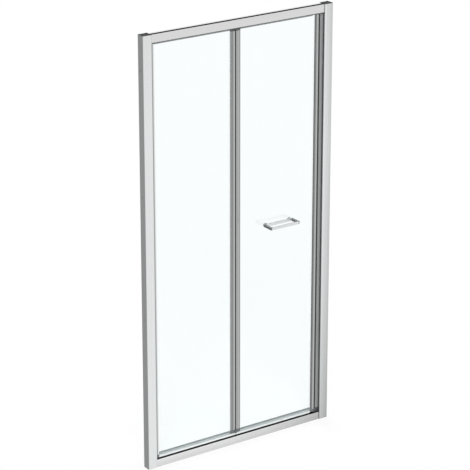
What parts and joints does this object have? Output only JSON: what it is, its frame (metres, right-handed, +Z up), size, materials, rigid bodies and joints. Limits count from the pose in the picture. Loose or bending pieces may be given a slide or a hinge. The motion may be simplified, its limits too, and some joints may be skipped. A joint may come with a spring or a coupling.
{
  "type": "bifold shower door",
  "caption": "Framed bifold shower door: a pivoted glass panel and a folding glass panel with a loop handle, guided in top and bottom tracks.",
  "frame": {"origin": "centre of the bottom rail's underside, in the middle plane of the glass", "axes": "+X along the opening towards the closing side, +Y into the shower, +Z up"},
  "size_m": [0.967, 0.0863, 1.95],
  "materials": {
    "channel_metal": "bright anodised",
    "post_metal": "bright anodised",
    "rail_metal": "bright anodised",
    "cap_plastic": "fine texture",
    "screw_steel": "plated",
    "pin_steel": "ground",
    "cover_plastic": "smooth",
    "block_plastic": "moulded",
    "stop_rubber": "matt",
    "seal_grey": "satin",
    "magnet_ferrite": "matt",
    "glass_clear": "clear, polished edges",
    "stile_metal": "bright anodised",
    "gasket_rubber": "satin",
    "seal_black": "satin",
    "seal_clear": "translucent",
    "handle_chrome": "polished",
    "washer_clear": "translucent",
    "guide_nylon": "moulded"
  },
  "bodies": {
    "frame": {"wall_channel_left": "channel_metal", "wall_channel_right": "channel_metal", "channel_cap_left": "cap_plastic", "channel_cap_right": "cap_plastic", "post_left": "post_metal", "post_right": "post_metal", "top_rail": "rail_metal", "bottom_rail": "rail_metal", "frame_screws": "screw_steel", "lock_screws": "screw_steel", "lock_screw_covers": "cover_plastic", "pivot_socket_top": "block_plastic", "pivot_socket_bottom": "block_plastic", "open_stop": "stop_rubber", "track_screws": "screw_steel", "pivot_seal": "seal_grey", "jamb_magnet_seal": "seal_grey", "jamb_magnet": "magnet_ferrite", "jamb_foot": "seal_black", "post_strip": "gasket_rubber"},
    "panel_a": {"glass_a": "glass_clear", "pivot_stile": "stile_metal", "hinge_stile_a": "stile_metal", "gaskets_a": "seal_clear", "pivot_block_top": "block_plastic", "pivot_block_bottom": "block_plastic", "pivot_pin_top": "pin_steel", "pivot_pin_bottom": "pin_steel", "hinge_block_a_top": "block_plastic", "hinge_block_a_bottom": "block_plastic", "hinge_pins": "pin_steel", "hinge_seal": "seal_black", "top_seal_a": "seal_clear", "bottom_seal_a": "seal_clear", "block_screws_a": "screw_steel"},
    "panel_b": {"glass_b": "glass_clear", "hinge_stile_b": "stile_metal", "leading_stile": "stile_metal", "gaskets_b": "seal_clear", "hinge_block_b_top": "block_plastic", "hinge_block_b_bottom": "block_plastic", "guide_arm_top": "block_plastic", "guide_arm_bottom": "block_plastic", "guide_pins": "pin_steel", "door_magnet_seal": "seal_black", "door_magnet": "magnet_ferrite", "top_seal_b": "seal_clear", "bottom_seal_b": "seal_clear", "block_screws_b": "screw_steel", "handle_loop": "handle_chrome", "handle_washers": "washer_clear", "handle_bushes": "washer_clear", "handle_bolts": "handle_chrome"},
    "guide_top": {"guide_block_top": "guide_nylon"},
    "guide_bottom": {"guide_block_bottom": "guide_nylon"}
  },
  "joints": [
    {"name": "panel_a_fold", "type": "hinge", "parent": "frame", "child": "panel_a", "pos_m": [-0.4305, 0, 0.05], "axis": [0, 0, 1], "range_deg": [0, 76]},
    {"name": "panel_b_fold", "type": "hinge", "parent": "panel_a", "child": "panel_b", "pos_m": [-0.018, -0.01, 0.06], "axis": [0, 0, 1], "range_deg": [-152, 0]},
    {"name": "guide_top_turn", "type": "hinge", "parent": "panel_b", "child": "guide_top", "pos_m": [0.3945, 0, 1.935], "axis": [0, 0, 1], "range_deg": [0, 76]},
    {"name": "guide_bottom_turn", "type": "hinge", "parent": "panel_b", "child": "guide_bottom", "pos_m": [0.3945, 0, 0.012], "axis": [0, 0, 1], "range_deg": [0, 76]}
  ],
  "couplings": [
    {"joint": "panel_b_fold", "follows": "panel_a_fold", "ratio": -2},
    {"joint": "guide_top_turn", "follows": "panel_a_fold", "ratio": 1},
    {"joint": "guide_bottom_turn", "follows": "panel_a_fold", "ratio": 1}
  ]
}
